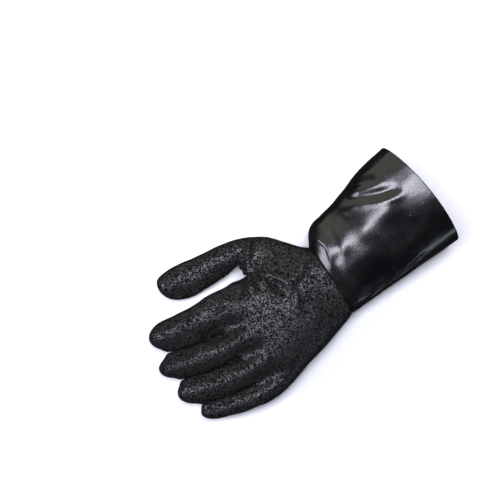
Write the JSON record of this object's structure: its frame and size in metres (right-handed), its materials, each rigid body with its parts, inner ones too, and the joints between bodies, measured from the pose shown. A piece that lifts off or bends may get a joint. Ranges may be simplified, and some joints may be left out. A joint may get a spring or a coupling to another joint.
{
  "type": "pvc coated work glove",
  "caption": "Left-hand PVC coated work glove with a rough dipped hand, set-apart thumb and smooth flared gauntlet cuff, open at the wrist end.",
  "frame": {"origin": "middle of the flat heel of the palm that the glove rests on, 20 mm ahead of the hand's edge at the wrist", "axes": "+Y from the cuff towards the fingertips, +X towards the thumb, +Z out of the back of the hand"},
  "size_m": [0.1623, 0.3152, 0.072],
  "materials": {
    "rough_pvc": "rough sandy coating with a dull sheen",
    "smooth_pvc": "smooth glossy coating"
  },
  "bodies": {
    "root": {"hand": "rough_pvc", "cuff": "smooth_pvc"}
  },
  "joints": []
}
